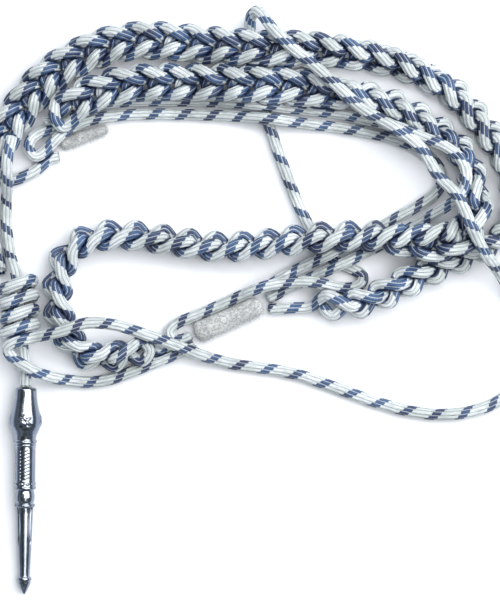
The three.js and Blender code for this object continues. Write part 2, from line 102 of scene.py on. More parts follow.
OUTER_TAIL = [
    (53.9, 61.9, 2.5), (58, 61.6, 2.5), (62.2, 61.3, 3.4),
]
OUTER_BRAID = [
    (65, 61.1, 6.9, -90), (70.4, 60.9, 6.9, -92), (74, 60.2, 6.9, -100), (77.6, 58.7, 6.9, -110),
    (81, 57, 6.9, -115), (84.4, 55.3, 6.9, -115), (88, 53.5, 6.9, -105), (92, 51.6, 6.9, -95),
    (96, 49.7, 6.9, -90), (100, 48, 6.9, -90), (102.6, 45, 6.9, -90), (103.4, 40.4, 6.9, -90),
    (102.6, 35.4, 6.9, -90), (100.8, 30.8, 6.9, -90), (98, 26.8, 6.9, -90), (95.2, 23.2, 6.9, -90),
    (92, 19.6, 6.9, -85), (88.2, 16.5, 6.9, -78), (80.8, 12.7, 6.9, -68), (75.2, 11.2, 6.9, -60),
    (70.2, 10.3, 6.9, -50), (64, 9.9, 6.8, -25), (60, 9.9, 7.6, 0), (55, 10, 10.6, 0),
    (50, 9.8, 11.3, 0), (46, 9.4, 9.4, 0), (40, 8.8, 6.3, 0), (34, 8.2, 6.1, 0), (28, 8, 6.1, 0),
    (23, 8.7, 6.1, 0), (18, 10.3, 6.1, 0), (13.4, 12.7, 6.1, 0), (9.6, 15.3, 6.1, 0),
    (6.6, 18.4, 6.1, 0), (4, 21.8, 6.1, 0), (1.6, 25.2, 6.1, 0), (-0.6, 28.6, 6.1, 0),
    (-2.4, 32, 6.1, 0),
]
OUTER_END = [
    (-1.6, 35, 2.2), (1.4, 36, 2.2), (4.4, 35.3, 2.2), (6.9, 34, 2.2), (8.6, 32.5, 2.2),
    (10, 31.5, 2.2), (11.6, 31.2, 2.2),
]
INNER_TAIL = [
    (32.8, 69.7, 2.6), (31.4, 69.9, 3.6),
]
INNER_BRAID = [
    (29.6, 70, 6.9, 90), (26, 70.6, 6.9, 90), (22.4, 71.4, 6.9, 90), (19, 71.6, 6.9, 90),
    (15.6, 70, 6.9, 90), (13.2, 66.8, 6.9, 90), (11.8, 63.2, 6.9, 90), (11.4, 59.6, 6.9, 90),
    (11.6, 55.6, 6.9, 90), (12.7, 51.9, 6.9, 90), (15.2, 49, 6.9, 90), (19, 47.4, 6.9, 90),
    (24.4, 46.9, 6.9, 90), (30.4, 47.5, 6.9, 90), (35.6, 48.3, 6.9, 90), (40.8, 49.1, 6.9, 90),
    (46.4, 49.3, 7.2, 90), (52, 48.9, 8.6, 90), (57, 48.3, 11, 90), (61, 47.8, 13, 90),
    (65, 47.4, 14, 90), (70, 47.2, 13.4, 90), (76, 47.2, 12.4, 75), (82, 48, 13, 45),
    (86.4, 48.5, 14.8, 20), (90.8, 47.9, 16.4, 0), (94, 45, 15.2, -25), (95.2, 41, 11.6, -55),
    (95, 37, 8.4, -80), (93.9, 32.8, 7.2, -90), (91.4, 29, 7.2, -90), (87.2, 25.7, 7.2, -90),
    (82.6, 22.8, 7.2, -90), (77.4, 20.3, 7.2, -90), (72.2, 18.8, 7.2, -85), (68, 18.2, 7.2, -60),
    (64, 17.9, 8, -25), (60, 17.6, 9.2, 0), (54, 17.2, 11.2, 0), (50, 16.9, 11.4, -10),
    (46, 16.6, 10.6, -20), (40, 16.5, 9.2, -20), (34, 16.4, 9.2, -20), (29, 16.5, 9.2, -20),
    (24, 17.1, 9.4, -20), (19.6, 18.3, 9.8, -20), (15.8, 20.2, 10.2, -20), (12.6, 22.6, 10.8, -15),
]
INNER_END = [
    (9.6, 23.6, 8.4),
]
LOOP_CORD = [
    (37.9, 67.2, 2.5), (36.4, 67.9, 2.5), (34.6, 67.8, 2.5), (33.8, 66.4, 2.5), (35.2, 64.8, 2.5),
    (37.8, 63.6, 2.5), (40.6, 62.5, 2.5), (44, 61, 2.5), (48, 59.2, 3.6), (50.8, 58, 6.2),
    (53.2, 57.2, 7.3), (56, 56.7, 7.4), (59, 56.4, 7.7), (62.2, 56.4, 8.4), (65.4, 57, 6.8),
    (68.2, 57.5, 3.8), (70.6, 57.5, 2.5), (72.4, 56.6, 2.5), (72.6, 55.1, 2.5), (71, 54, 2.5),
    (67.8, 52.6, 2.5), (64.6, 49.6, 2.5), (62.2, 45.8, 2.5), (60, 41.4, 2.5), (56.9, 33.6, 2.5),
    (54.1, 25.6, 2.5), (51.5, 17, 2.5), (50.3, 8.8, 2.5), (50, 5.4, 3.8), (50.2, 3.3, 6.2),
    (51.2, 2.3, 9), (52.5, 3.2, 12.2), (54.2, 5.8, 16.2), (57, 8.8, 18.4), (63, 13.8, 18.8),
    (69, 19.2, 18.6), (72.4, 22.2, 18.6), (78.6, 25.8, 19.2), (83.8, 29.8, 19.2), (87, 35, 19.6),
    (91.2, 39.8, 21.8), (93.6, 45.4, 24), (96.2, 50.2, 19.6), (99.8, 54.6, 10), (103.6, 60.6, 3.4),
    (106.4, 67, 2.5), (106.4, 73.6, 2.5), (104, 77.6, 2.5), (100, 80.3, 2.5), (96, 82, 2.5),
    (90, 83, 2.5), (83, 82.5, 2.5), (76, 80.7, 2.5), (68, 77.9, 2.5), (60, 75.1, 2.5),
    (54, 73.9, 2.5), (48, 73.1, 2.5), (43.6, 72.1, 3.4), (39.6, 70.8, 6.6), (36.8, 69.7, 7.6),
    (30, 67.2, 12.4), (23.6, 65.1, 12.6), (17.6, 64.6, 16.8), (12.8, 66.1, 17.2), (7.2, 67.4, 14.2),
    (3.4, 68.3, 14.2), (1.7, 69.6, 12.6), (2.6, 71.4, 11.6), (5.4, 73.4, 11.4), (7.4, 74.4, 11),
    (10.4, 75.5, 6.6), (14, 76.2, 2.8), (18, 76.5, 2.5), (22, 75.9, 2.5), (26, 74.5, 2.5),
    (30, 72.9, 2.5), (36.4, 70.4, 2.5), (38.9, 69.3, 2.5),
]
FRONT_CORD = [
    (53.8, 59.7, 2.5), (55.2, 59, 2.5), (57.6, 57.7, 2.5), (60.6, 56.3, 2.5), (63.4, 55, 3.6),
    (66, 53.9, 6.4), (68.6, 52.7, 8.1), (71.8, 51.2, 5.6), (75.4, 49.4, 2.6), (79, 47.4, 2.5),
    (82.4, 45.4, 2.6), (86, 43.3, 6.4), (89.4, 41.2, 12.4), (92, 39, 16.4), (93, 35.6, 16.8),
    (92, 32.2, 16.2), (89, 29.6, 15.2), (84.4, 27.6, 14.2), (79.6, 25.6, 13.4), (74, 24, 6.2),
    (69, 22.8, 2.8), (64, 22.1, 2.6), (58, 21.5, 4.6), (52.2, 21, 7.7), (46.6, 20.4, 4.2),
    (40, 20.1, 2.5), (30, 20, 2.5), (24, 20.2, 2.5), (20, 20.9, 2.5), (16, 22.2, 2.5),
    (12.6, 24.2, 2.5), (9.8, 25.7, 3.2), (7.4, 26.7, 4.8), (5.9, 28.2, 5.6), (5.8, 30, 5.2),
    (7, 31.2, 5), (8.7, 30.4, 5), (10.4, 28.5, 5.6), (12.8, 26.3, 6), (16, 24.5, 4.9),
    (20, 23.4, 3.4), (24, 22.9, 2.7), (30, 22.6, 2.5), (40, 22.8, 2.5), (47, 23.1, 4.2),
    (53.3, 23.7, 7.9), (58.6, 24.3, 4.6), (64, 24.9, 2.5), (70, 25.7, 2.5), (75.6, 26.8, 2.5),
    (80, 28, 2.5), (83.6, 29.6, 2.5), (86.6, 31.7, 2.5), (88.4, 34.2, 2.5), (88.4, 36.8, 2.5),
    (86.8, 39, 2.5), (83.6, 41.2, 2.5), (80, 43.2, 2.5), (73.6, 46.8, 2.8), (69, 49.2, 5.4),
    (65.8, 50.9, 7.9), (62.8, 52.3, 5.6), (59.4, 53.9, 2.7), (56.4, 55.5, 2.5), (54.4, 56.7, 2.5),
]
HANGING_CORD = [
    (2.6, 27.6, 13.9), (1.8, 31.4, 13.9), (1.5, 35, 11), (1.3, 38.2, 5.6), (1, 40.4, 2.6),
    (1, 44, 2.5), (1.4, 48, 2.5), (2, 51.4, 3.6), (2.8, 53.6, 6.4), (3.4, 56, 8.2), (3.7, 61, 8.2),
    (4.1, 66, 8.2), (4.6, 70, 7), (5, 74, 6.2), (5.05, 77.3, 5.9),
]
WINDING_CORD = [
    (-1.9, 37, 2.5), (-1.9, 40, 2.5), (-1.7, 44, 2.5), (-1.3, 48, 2.5), (-0.6, 51, 2.5),
    (-0.2, 53, 3.4), (0.1, 54.2, 5),
]

# Each free cord: the node it replaces, its route and its real length
CORDS = [
    ("loop_cord", LOOP_CORD, 0.675),
    ("front_cord", FRONT_CORD, 0.521),
    ("hanging_cord", HANGING_CORD, 0.097),
    ("winding_cord", WINDING_CORD, 0.033),
]

# One chain stitch, in the order that its cord runs: shares of the stitch's length along the
# braid, of its half width across and of its half height up
STITCH_ROWS = [
    (0.02, -0.55, 0.95), (0.48, -1, 0.5), (0.93, -1, -0.25), (1.36, 0, 0.2), (1.27, 1, -0.2),
    (0.73, 1, 0.35), (0.2, 0.55, 1), (-0.06, 0.27, 0), (0.29, 0, -1), (0.69, -0.23, -0.15),
]

# Where the cord leaves the last stitch, in the same shares
WAY_OUT = (1.5, 0, -1)

# Where a stitch's front shows a tracer dash, counted in rows: at the tip of each of its two arms
DASH_SPOTS = (-0.35, 6.4)

# The rows of the braids where each one folds back
OUTER_FOLD, INNER_FOLD = 11, 27

# The barrel knot: the middles of its top and foot, the radius, rise, number and lean in degrees
# of its turns, and the steps in each
KNOT_TOP, KNOT_FOOT = (3.4, 56.2), (4, 66.4)
KNOT_RADIUS = 0.0058
KNOT_PITCH = 0.0054
KNOT_TURNS = 3.5
KNOT_TILT = 24
KNOT_STEPS = 24

# The felt sleeves: the middles of both ends, and then for each its node, ends, length, width at
# either end, height and the seed of its fibres
SHOULDER_ENDS = (39, 66.8), (52.4, 60.9)
FRONT_ENDS = (12, 28.7), (21.3, 25.6)
SLEEVES = [
    ("shoulder_sleeve", SHOULDER_ENDS, 0.0275, (0.0078, 0.007), 0.0064, 3),
    ("front_sleeve", FRONT_ENDS, 0.0185, (0.005, 0.0033), 0.0044, 5),
]

# Their meshes, the power that squares their sections, the power that keeps the rounding near
# their ends, and the share of the height that is left at the ends
SLEEVE_RINGS, SLEEVE_SIDES = 64, 40
SLEEVE_POWER = 0.75
SLEEVE_END_POWER = 14
SLEEVE_END_HEIGHT = 0.25

# The felt's lumps: how many to a metre, and how high. Then its fibres: their spacing along a
# sleeve, how far they are scattered, how much they lean and bend, and their lengths and thickness
LUMPS = (420, 0.00022), (1700, 0.0001)
FIBRE_SPACING = 0.000012
FIBRE_SCATTER = 0.00025
FIBRE_LEAN, FIBRE_BEND = 0.8, 0.5
FIBRE_LENGTHS = 0.0005, 0.0014
FIBRE_HALF_WIDTH = 0.00003
FIBRE_TAPER = 0.7

# The metal tag: its place, its length, and the bulb and the ring near the point that it lies on
TAG_TOP, TAG_POINT = (5.1, 77.6), (4.6, 119.2)
TAG_LENGTH = 0.077
TAG_BULB, TAG_TIP_RING = 0.0108, 0.0054
TAG_BULB_AT, TAG_TIP_RING_AT = 0.165, 0.922
TAG_RINGS, TAG_SIDES = 520, 180

# Its outline from mouth to point: share of the length, and width in millimetres
TAG_ROWS = [
    (0, 4.6), (0, 7.1), (0.004, 7.7), (0.012, 7.9), (0.04, 8.1), (0.07, 8.8), (0.1, 9.8),
    (0.13, 10.8), (0.15, 11.2), (0.168, 11.3), (0.185, 11), (0.2, 10.2), (0.214, 9.2),
    (0.23, 8.2), (0.245, 7.8), (0.25, 7.8), (0.253, 8.4), (0.258, 8.7), (0.264, 8.5), (0.267, 7.8),
    (0.27, 7.6), (0.273, 8.1), (0.277, 8.1), (0.281, 7.7), (0.3, 7.6), (0.44, 7.5), (0.466, 7.6),
    (0.474, 7.8), (0.478, 8.2), (0.484, 8.3), (0.488, 7.8), (0.491, 6.6), (0.496, 6.4), (0.51, 7),
    (0.527, 7.2), (0.545, 6.9), (0.556, 6.2), (0.56, 6.3), (0.562, 7.5), (0.567, 7.7),
    (0.572, 7.3), (0.576, 6.2), (0.6, 5.9), (0.7, 5.5), (0.8, 4.8), (0.88, 4.2), (0.91, 4),
    (0.914, 4.2), (0.917, 5.1), (0.922, 5.4), (0.93, 5.3), (0.935, 4.8), (0.945, 4.6),
    (0.96, 3.7), (0.975, 2.6), (0.99, 1.3), (0.997, 0.6), (1.0, 0.05),
]

# Its engraving: places along the tag are shares of its length, places round it are radians, and
# sizes, heights and depths are millimetres, but the petals' notch and the eye's radius are shares
# of the rosette, and a bead's width is a share of the space between beads, and then widened.
# Nothing is engraved where the tag is thinner than the first value.
ENGRAVED_FROM = 3
ROSETTE_AT, ROSETTE_RADIUS, ROSETTE_ANGLE = 0.155, 2.9, 0.55
PETALS, PETAL_NOTCH, PETAL_HEIGHT = 6, 0.28, 0.5
EYE_RADIUS, EYE_DEPTH = 0.3, 0.35
PANEL_FROM, PANEL_TO, PANEL_ANGLE = 0.3, 0.445, 0.42
CUT_SPACING, CUT_SLANT, CUT_DEPTH = 1.3, 1.5, 0.2
RIM_FROM, RIM_TO, RIM_ANGLE = 0.295, 0.45, 0.47
RIM_HALF_ANGLE, RIM_HEIGHT = 0.04, 0.07
BEADS, BEAD_AT, BEAD_RADIUS, BEAD_HEIGHT = 10, 0.462, 0.42, 0.28
BEAD_SHARE, BEAD_WIDENING = 0.42, 0.6
LEAF_AT, LEAF_LENGTH, LEAF_ANGLE, LEAF_DEPTH = 0.66, 0.1, 0.55, 0.3
VEIN_LENGTH, VEIN_ANGLE, VEIN_HEIGHT = 0.085, 0.16, 0.28

# The floor is a square. The sky's level changes from straight across to overhead, and each lamp
# has a place, a width and depth, a power in watts and a tint. The lamps aim at the origin.
FLOOR_HALF = 3.0
SKY_STOPS = (0.0, 0.95), (0.3, 0.85), (0.55, 0.14), (0.86, 0.06), (1.0, 0.3)
SKY_TINT = 0.82, 0.92, 1
SKY_STRENGTH = 0.72
LAMPS = [
    ("key", (0.42, 0.22, 0.95), (1.2, 1.3), 21.5, (1.0, 0.995, 0.98)),
    ("fill", (-0.35, 0.5, 0.9), (0.3, 0.3), 2.0, (0.93, 0.96, 1.0)),
]


def chart_shift():
    """The chart's place in the model's frame, read off the shoulder sleeve."""
    low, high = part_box("shoulder_sleeve")
    middle = (low + high) / 2
    (x0, y0), (x1, y1) = SHOULDER_ENDS
    return Vector((middle.x - (x0 + x1) / 2 * SQUARE, middle.y + (y0 + y1) / 2 * SQUARE, 0))


SHIFT = chart_shift()


def place(row):
    """A row of a route, or a spot on the chart, as a point in metres."""
    x, y = row[:2]
    z = row[2] if len(row) > 2 else 0
    return np.array([x * SQUARE + SHIFT.x, SHIFT.y - y * SQUARE, z * MM])


def unit(vectors):
    return vectors / np.linalg.norm(vectors, axis=-1, keepdims=True)


# Curves

def spline(points, per_leg, centripetal=True):
    """A Catmull-Rom curve through the points: per_leg steps on each leg."""
    points = np.array(points, float)
    before, beyond = 2 * points[0] - points[1], 2 * points[-1] - points[-2]
    all_points = np.concatenate([[before], points, [beyond]])
    t = np.linspace(0, 1, per_leg, endpoint=False)[:, None]
    legs = []
    for p0, p1, p2, p3 in zip(all_points, all_points[1:], all_points[2:], all_points[3:]):
        if centripetal:
            d0, d1, d2 = (math.sqrt(max(np.linalg.norm(b - a), 1e-7))
                          for a, b in ((p0, p1), (p1, p2), (p2, p3)))
            m1 = ((p1 - p0) / d0 - (p2 - p0) / (d0 + d1) + (p2 - p1) / d1) * d1
            m2 = ((p2 - p1) / d1 - (p3 - p1) / (d1 + d2) + (p3 - p2) / d2) * d1
        else:
            m1, m2 = (p2 - p0) / 2, (p3 - p1) / 2
        legs.append(p1 + m1 * t + (3 * (p2 - p1) - 2 * m1 - m2) * t**2
                    + (2 * (p1 - p2) + m1 + m2) * t**3)
    return np.concatenate(legs + [points[-1:]])


def distances(points):
    """How far along a line each of its points lies."""
    steps = np.linalg.norm(np.diff(points, axis=0), axis=1)
    return np.concatenate([[0], np.cumsum(steps)])


def resample(points, step):
    """Points spread evenly along a line, and the distance of each."""
    along = distances(points)
    at = np.linspace(0, along[-1], max(int(round(along[-1] / step)), 2) + 1)
    return np.stack([np.interp(at, along, points[:, k]) for k in range(3)], 1), at


def transport(centres):
    """Two directions across a line at each point, carried along it without twist."""
    ahead = unit(np.gradient(centres, axis=0))
    side = np.cross(ahead[0], (0.0, 0.0, 1.0))
    if np.linalg.norm(side) < 0.1:
        side = np.cross(ahead[0], (0.0, 1.0, 0.0))
    sides = []
    for direction in ahead:
        side = side - direction * side.dot(direction)
        side = side / np.linalg.norm(side)
        sides.append(side)
    return np.array(sides), np.cross(ahead, sides)


# Strands: each has a line, a radius, the node that it replaces and its tracer's phase

strands = []


def strand(name, line, diameter, dashes=None):
    centres, along = resample(line, RING_STEP)
    across, up = transport(centres)
    made = {"name": name, "centres": centres, "along": along, "across": across, "up": up,
            "radius": diameter / 2, "phase": along / TRACER_PITCH}
    if dashes:
        made["phase"] = phase_through(made, *dashes)
    strands.append(made)


def phase_through(made, spots, fronts):
    """Stretches the tracer a little, so that a dash shows on the front at each spot."""
    along = made["along"]
    rings = np.clip(np.searchsorted(along, spots), 0, len(along) - 1)
    knots_at, knots_phase = [], []
    last_at = last_phase = 0.0
    for ring, front in zip(rings, fronts):
        angle = math.atan2(front.dot(made["up"][ring]), front.dot(made["across"][ring]))
        wanted = DASH_CENTRE - angle / (2 * math.pi)
        expected = last_phase + (along[ring] - last_at) / TRACER_PITCH
        last_at, last_phase = along[ring], wanted + round(expected - wanted)
        knots_at.append(last_at)
        knots_phase.append(last_phase)
    before, after = along < knots_at[0], along > knots_at[-1]
    phase = np.interp(along, knots_at, knots_phase)
    phase[before] = knots_phase[0] + (along[before] - knots_at[0]) / TRACER_PITCH
    phase[after] = knots_phase[-1] + (along[after] - knots_at[-1]) / TRACER_PITCH
    return phase


def plain_cord(name, rows):
    strand(name, spline([place(row) for row in rows], per_leg=24), CORD_SEEN)


def barrel_knot():
    """Slanted turns side by side, round the cord that hangs through them."""
    top, foot = place(KNOT_TOP), place(KNOT_FOOT)
    axis = unit(foot - top)
    side = -np.cross(axis, (0.0, 0.0, 1.0))
    lean = math.tan(math.radians(KNOT_TILT))
    points = []
    for step in range(round(KNOT_TURNS * KNOT_STEPS) + 1):
        turns = step / KNOT_STEPS
        angle = math.pi - 2 * math.pi * step / KNOT_STEPS
        out = KNOT_RADIUS * math.cos(angle)
        point = top + side * out + axis * (turns * KNOT_PITCH - lean * out)
        point[2] = KNOT_RADIUS + CORD / 2 + KNOT_RADIUS * math.sin(angle)
        points.append(point)
    strand("knot", spline(points, per_leg=4), CORD)


# Braids

def braid_run(rows):
    """Places, fronts and sides along a braid's middle line, asked for by distance."""
    per_leg = 20
    line = spline([place(row) for row in rows], per_leg)
    along = distances(line)
    ahead = unit(np.gradient(line, axis=0))
    left = unit(np.cross((0.0, 0.0, 1.0), ahead))
    above = np.cross(ahead, left)
    turn = np.radians(np.interp(np.arange(len(line)) / per_leg, range(len(rows)),
                                [row[3] for row in rows]))[:, None]
    front = above * np.cos(turn) - left * np.sin(turn)
    side = left * np.cos(turn) + above * np.sin(turn)

    def at(distance):
        inside = min(max(distance, 0), along[-1])
        centre, ahead_, front_, side_ = (
            np.array([np.interp(inside, along, values[:, k]) for k in range(3)])
            for values in (line, ahead, front, side))
        return centre + ahead_ * (distance - inside), front_, side_

    return at, along[-1], along[::per_leg]


def chain_braid(name, tail, rows, fold_row, end):
    """One chain of stitches as two strands, which meet where the braid folds back."""
    at, length, row_distances = braid_run(rows)
    count = round(length / STITCH)
    pitch = length / count
    fold_stitch = round(row_distances[fold_row] / pitch)

    def stitch_point(stitch, row):
        centre, front, side = at((stitch + row[0]) * pitch)
        return centre + side * row[1] * BRAID_HALF_WIDTH + front * row[2] * BRAID_HALF_HEIGHT

    def half(part_name, before, stitches, after):
        points, dash_points, fronts = list(before), [], []
        for stitch in stitches:
            dash_points += [len(points) + spot for spot in DASH_SPOTS]
            fronts += [at(stitch * pitch)[1]] * len(DASH_SPOTS)
            points += [stitch_point(stitch, row) for row in STITCH_ROWS]
        points += after
        per_leg = 8
        line = spline(points, per_leg, centripetal=False)
        spots = np.interp(np.array(dash_points) * per_leg, range(len(line)), distances(line))
        strand(part_name, line, BRAID_CORD, (spots, fronts))

    first_up = stitch_point(fold_stitch, STITCH_ROWS[0])
    last_low = stitch_point(fold_stitch - 1, STITCH_ROWS[-1])
    meeting = (first_up + last_low) / 2
    half(name + "_lower", [place(row) for row in tail], range(fold_stitch), [meeting])
    half(name + "_upper", [meeting], range(fold_stitch, count),
         [stitch_point(count - 1, WAY_OUT), *(place(row) for row in end)])


# Pressing: strands that touch flatten against each other

def all_rings():
    """Every ring's middle in one tree, and its strand's number, distance and radius in a list."""
    tree = kdtree.KDTree(sum(len(made["centres"]) for made in strands))
    spots = []
    for number, made in enumerate(strands):
        for ring, centre in enumerate(made["centres"]):
            tree.insert(centre, len(spots))
            spots.append((number, made["along"][ring], made["radius"]))
    tree.balance()
    return tree, spots


def press():
    """Gives each ring its flats (direction, reach) and, for painted shade, its neighbours
    (direction, nearness).
    """
    tree, spots = all_rings()
    for number, made in enumerate(strands):
        radius = made["radius"]
        made["flats"], made["near"] = [], []
        for centre, along in zip(made["centres"], made["along"]):
            flats, near = [], []
            for spot, index, gap in tree.find_range(centre, radius + NEAR):
                other, other_along, other_radius = spots[index]
                if other == number and abs(other_along - along) < 3 * radius:
                    continue
                both = radius + other_radius
                direction = (np.array(spot) - centre) / max(gap, 1e-6)
                away = max(gap - radius - other_radius, 0) / (NEAR - other_radius)
                near.append((*direction, 1 - away))
                if 1e-6 < gap < both:
                    flats.append((direction, gap * radius / both - TOUCH))
            made["flats"].append(flats)
            made["near"].append(np.array(near).reshape(-1, 4))


def crevice_shade_amount(spokes, centre, radius, near):
    """The painted shade at each point round a ring, 0 to 1: how far it is shut in by neighbours and
    floor.
    """
    height = centre[2] + radius * spokes[:, 2]
    downward = np.clip(FLOOR_WRAP - spokes[:, 2], 0, 1)
    floor = downward * np.clip(1 - height / FLOOR_REACH, 0, 1) * FLOOR_SHADE
    if not len(near):
        return floor
    facing = np.clip(spokes @ near[:, :3].T + NEAR_WRAP, 0, 1) ** NEAR_POWER * near[:, 3]
    return np.maximum(facing.max(1), floor)


# Meshes

def grid_object(name, points, u, v, wide, crevice_shade=None):
    """A tube from rows of points, with wide points to a row, whose first and last are joined."""
    number = np.arange(len(points))
    first = number[:-wide].reshape(-1, wide)[:, :-1].ravel()
    faces = np.stack([first, first + 1, first + wide + 1, first + wide], 1)
    merged = np.where(number % wide == wide - 1, number - (wide - 1), number)
    kept, joined = np.unique(merged, return_inverse=True)
    mesh = bpy.data.meshes.new(name)
    mesh.from_pydata(points[kept].tolist(), [], joined[faces].tolist())
    uv = mesh.uv_layers.new(name="Run")
    corners_uv = np.stack([u[faces.ravel()], v[faces.ravel()]], 1)
    uv.data.foreach_set("uv", corners_uv.ravel().astype(np.float32))
    # the painted crevice shade rides along as a point attribute
    if crevice_shade is not None:
        values = mesh.attributes.new("crevice_shade", "FLOAT", "POINT")
        values.data.foreach_set("value", crevice_shade[kept].astype(np.float32))
    mesh.polygons.foreach_set("use_smooth", [True] * len(mesh.polygons))
    mesh.validate()
    mesh.update()
    made = bpy.data.objects.new(name, mesh)
    bpy.context.scene.collection.objects.link(made)
    return made


def rib_profile(sides):
    """Radius shares round the cord, one rounded bump to a rib, its seam in a valley."""
    around = np.arange(sides + 1) / sides
    bump = np.abs(np.sin(np.pi * RIBS * around)) ** RIB_ROUND
    return around, 1 - RIB_DEPTH * (1 - bump)


def pressed_ring(made, ring, angle, shares):
    """The points round one ring after its neighbours and the floor, and the painted shade of each.
    """
    centre, across, up = (made[key][ring] for key in ("centres", "across", "up"))
    spokes = np.outer(np.cos(angle), across) + np.outer(np.sin(angle), up)
    points = centre + spokes * (shares * made["radius"])[:, None]
    for direction, reach in made["flats"][ring]:
        over = (points - centre) @ direction - reach
        points -= np.outer(np.maximum(over, 0), direction)
    points[:, 2] = np.maximum(points[:, 2], FLOOR_GAP)
    return points, crevice_shade_amount(spokes, centre, made["radius"], made["near"][ring])


def end_rings(made, end, inner, ring):
    """The rings that close a strand's end, made from one of its own rings, widest first."""
    centre = made["centres"][end]
    outward = unit(centre - made["centres"][inner]) * made["radius"] * END_REACH
    return [centre + (ring - centre) * share + outward * out for share, out in END_RINGS]


def strand_mesh(made):
    """A closed ribbed tube with its painted crevice shade. Its UV map holds the share round and the
    tracer's phase.
    """
    sides = RIBS * RIB_POINTS
    around, shares = rib_profile(sides)
    angle = 2 * np.pi * around
    last = len(made["centres"]) - 1
    rings, crevice_shade = zip(*(pressed_ring(made, ring, angle, shares) for ring in range(last + 1)))

    # the far end closes from a ring two steps back, so its wider ring lies inside the tube
    start = end_rings(made, 0, 1, rings[0])
    finish = end_rings(made, last, last - 1, rings[last - 2])
    points = np.concatenate([*reversed(start), *rings, *finish])
    crevice_shade = np.concatenate([crevice_shade[0], crevice_shade[0], *crevice_shade, crevice_shade[-1], crevice_shade[-1]])
    phase = np.pad(made["phase"], 2, mode="edge")
    return grid_object(made["name"] + "_dressed", points, np.tile(around, len(phase)),
                       np.repeat(phase, sides + 1), sides + 1, crevice_shade)


# Node helpers

class Nodes:
    """A material's node tree, with short calls for the nodes that are used here."""

    def __init__(self, name):
        self.material = bpy.data.materials.new(name)
        self.material.use_nodes = True
        self.tree = self.material.node_tree
        self.shader = self.tree.nodes["Principled BSDF"]

    def new(self, kind, **settings):
        node = self.tree.nodes.new("ShaderNode" + kind)
        for key, value in settings.items():
            setattr(node, key, value)
        return node

    def put(self, value, socket):
        if hasattr(value, "is_output"):
            self.tree.links.new(value, socket)
        else:
            socket.default_value = value

    def math(self, operation, *values):
        node = self.new("Math", operation=operation)
        for value, socket in zip(values, node.inputs):
            self.put(value, socket)
        return node.outputs[0]

    def plus(self, a, b):
        return self.math("ADD", a, b)

    def times(self, a, b):
        return self.math("MULTIPLY", a, b)

    def step(self, value, low, high, to_low=0.0, to_high=1.0):
        """A smooth step between low and high."""
        node = self.new("MapRange", interpolation_type="SMOOTHSTEP")
        for item, socket in zip((value, low, high, to_low, to_high), node.inputs):
            self.put(item, socket)
        return node.outputs[0]

    def mix(self, share, a, b, kind="MIX"):
        node = self.new("Mix", data_type="RGBA", blend_type=kind)
        self.put(share, node.inputs["Factor"])
        self.put(a, node.inputs[6])
        self.put(b, node.inputs[7])
        return node.outputs[2]

    def tinted(self, base, tint):
        return self.mix(1.0, base, tint, "MULTIPLY")

    def noise(self, vector, scale, detail, roughness):
        node = self.new("TexNoise")
        self.put(vector, node.inputs["Vector"])
        node.inputs["Scale"].default_value = scale
        node.inputs["Detail"].default_value = detail
        node.inputs["Roughness"].default_value = roughness
        return node.outputs[0]

    def vector(self, x, y):
        node = self.new("CombineXYZ")
        self.put(x, node.inputs[0])
        self.put(y, node.inputs[1])
        return node.outputs[0]

    def parts(self, vector):
        node = self.new("SeparateXYZ")
        self.put(vector, node.inputs[0])
        return node.outputs

    def spot(self):
        """The place on the object, in metres."""
        return self.new("TexCoord").outputs["Object"]

    def bump(self, height, distance, strength):
        node = self.new("Bump")
        node.inputs["Strength"].default_value = strength
        node.inputs["Distance"].default_value = distance
        self.put(height, node.inputs["Height"])
        self.put(node.outputs[0], self.shader.inputs["Normal"])


def colour(red, green, blue):
    return (red, green, blue, 1.0)


# Materials

# Each pair is a material's duller and brighter patches. The threads are mixed in as fine dark
# lines, and the tints multiply what lies under them. The valley and crevice tints are painted
# shade, and the flank and rim tints are painted reflections on the metal.
SILVER = colour(0.55, 0.60, 0.60), colour(0.77, 0.82, 0.84)
SILVER_THREADS = colour(0.24, 0.27, 0.29)
SILVER_STITCHES = colour(0.20, 0.23, 0.27)
BLUE = colour(0.020, 0.036, 0.10), colour(0.058, 0.135, 0.29)
BLUE_THREADS = colour(0.012, 0.02, 0.07)
# painted shade in the valleys between ribs and in the crevices between strands
VALLEY_SHADE_TINT = colour(0.24, 0.28, 0.37)
CREVICE_SHADE_TINT = colour(0.09, 0.13, 0.24)
FELT = colour(0.46, 0.475, 0.475), colour(0.66, 0.68, 0.68)
FELT_THREADS = colour(0.22, 0.23, 0.25)
METAL = colour(0.33, 0.37, 0.43), colour(0.46, 0.50, 0.57)
# painted reflections on the tag: a dark band on its flanks and a paler rim below it
FLANK_REFLECTION_TINT = colour(0.3, 0.32, 0.36)
RIM_REFLECTION_TINT = colour(0.7, 0.72, 0.8)
FLOOR_TONES = colour(0.86, 0.885, 0.93), colour(0.90, 0.915, 0.95)

# The cord's finest marks: the grain's scale round the cord and along a turn of the tracer, the
# wraps in a turn and how they slant across a rib, and a dash's slant, ragged edge and soft edge
GRAIN_ROUND, GRAIN_ALONG = 58.0, 3.2
WRAPS, WRAP_SLANT = 17, 7.0
DASH_SLANT, DASH_RAGGED, DASH_SOFT = 0.07, 0.09, 0.02


def dash_zone(n, phase, ribs, across, grain, tracer_share):
    """1 where a rib has its dash, which comes a little later on each next rib, and 0 elsewhere."""
    ragged = n.times(n.math("SUBTRACT", grain, 0.5), DASH_RAGGED)
    slanted = n.plus(phase, n.plus(n.times(across, DASH_SLANT), ragged))
    later = n.math("DIVIDE", n.math("FLOOR", ribs), float(RIBS))
    turned = n.math("FRACT", n.plus(slanted, later))
    return n.times(n.step(turned, 0.0, DASH_SOFT),
                   n.step(turned, tracer_share - DASH_SOFT, tracer_share, 1.0, 0.0))


